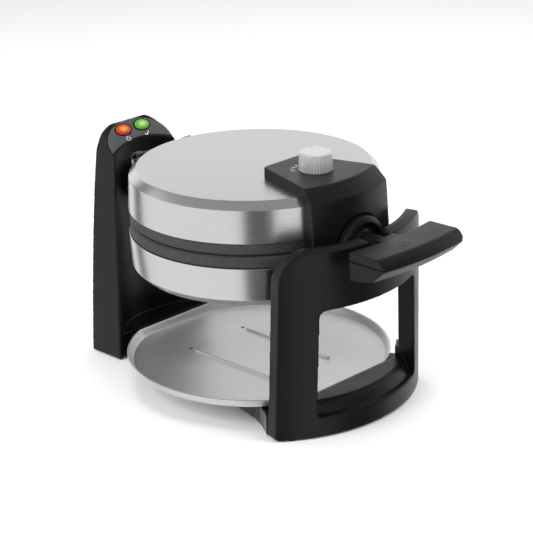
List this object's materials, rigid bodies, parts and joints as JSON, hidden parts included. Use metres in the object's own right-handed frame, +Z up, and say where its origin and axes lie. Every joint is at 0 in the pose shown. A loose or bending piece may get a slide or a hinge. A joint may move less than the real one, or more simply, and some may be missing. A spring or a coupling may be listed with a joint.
{
  "type": "waffle maker",
  "caption": "Rotary waffle maker: round steel and black head that flips over in a curved front frame and a rear post, with a hinged lid, browning knob, lamps and a drip tray.",
  "frame": {"origin": "on the ground under the middle of the object's box", "axes": "+X to the appliance's left side seen from behind its handle, across the flip axis; +Y from the handle towards the rear post, along the flip axis; +Z up"},
  "size_m": [0.2306, 0.3556, 0.2208],
  "materials": {
    "black_plastic": "satin, fine texture",
    "grey_plastic": "satin",
    "brushed_steel": "brushed",
    "tray_steel": "satin",
    "bare_steel": "plain",
    "cast_plate": "dark non-stick coating",
    "aluminium": "plain",
    "heater_sheath": "dull",
    "silver_plastic": "satin metallised",
    "brass": "plain",
    "nylon": "plain",
    "rubber": "matte",
    "circuit_board": "satin",
    "red_lamp": "translucent, lit",
    "green_lamp": "translucent, lit"
  },
  "bodies": {
    "root": {"front_frame": "black_plastic", "base_platform": "black_plastic", "base_bottom_cover": "black_plastic", "tower_shell": "black_plastic", "tower_cap": "black_plastic", "tower_rear_cover": "black_plastic", "lamp_panel": "grey_plastic", "power_lamp": "red_lamp", "ready_lamp": "green_lamp", "lamp_board": "circuit_board", "pivot_bush": "nylon", "cord_gland": "rubber", "front_left_foot": "rubber", "front_right_foot": "rubber", "rear_left_foot": "rubber", "rear_right_foot": "rubber"},
    "tray": {"drip_tray": "tray_steel"},
    "head": {"lower_housing": "brushed_steel", "lower_plate": "cast_plate", "lower_heating_element": "heater_sheath", "lower_reflector": "aluminium", "lower_front_cover": "black_plastic", "lower_handle": "black_plastic", "lower_rear_cover": "black_plastic", "pivot_shaft": "bare_steel", "pivot_clip": "bare_steel", "thermal_fuse": "bare_steel"},
    "hinge": {"hinge_pin": "bare_steel"},
    "lid": {"upper_housing": "brushed_steel", "upper_plate": "cast_plate", "upper_heating_element": "heater_sheath", "upper_reflector": "aluminium", "lid_front_cover": "black_plastic", "lid_handle": "black_plastic", "lid_rear_cover": "black_plastic", "thermostat": "bare_steel"},
    "knob": {"browning_knob": "silver_plastic", "knob_shaft": "brass"}
  },
  "joints": [
    {"name": "head_flip", "type": "hinge", "parent": "root", "child": "head", "pos_m": [0, 0, 0.1507], "axis": [0, 1, 0], "range_deg": [-180, 0]},
    {"name": "hinge_float", "type": "slide", "parent": "head", "child": "hinge", "axis": [0, 0, 1], "range_m": [0, 0.003]},
    {"name": "lid_open", "type": "hinge", "parent": "hinge", "child": "lid", "pos_m": [0, 0.12625, 0.182], "axis": [-1, 0, 0], "range_deg": [0, 100]},
    {"name": "browning_turn", "type": "hinge", "parent": "lid", "child": "knob", "pos_m": [0, -0.05775, 0.21], "axis": [0, 0, 1], "range_deg": [-135, 135]},
    {"name": "tray_lift", "type": "slide", "parent": "root", "child": "tray", "axis": [0, 0, 1], "range_m": [0, 0.055]}
  ]
}
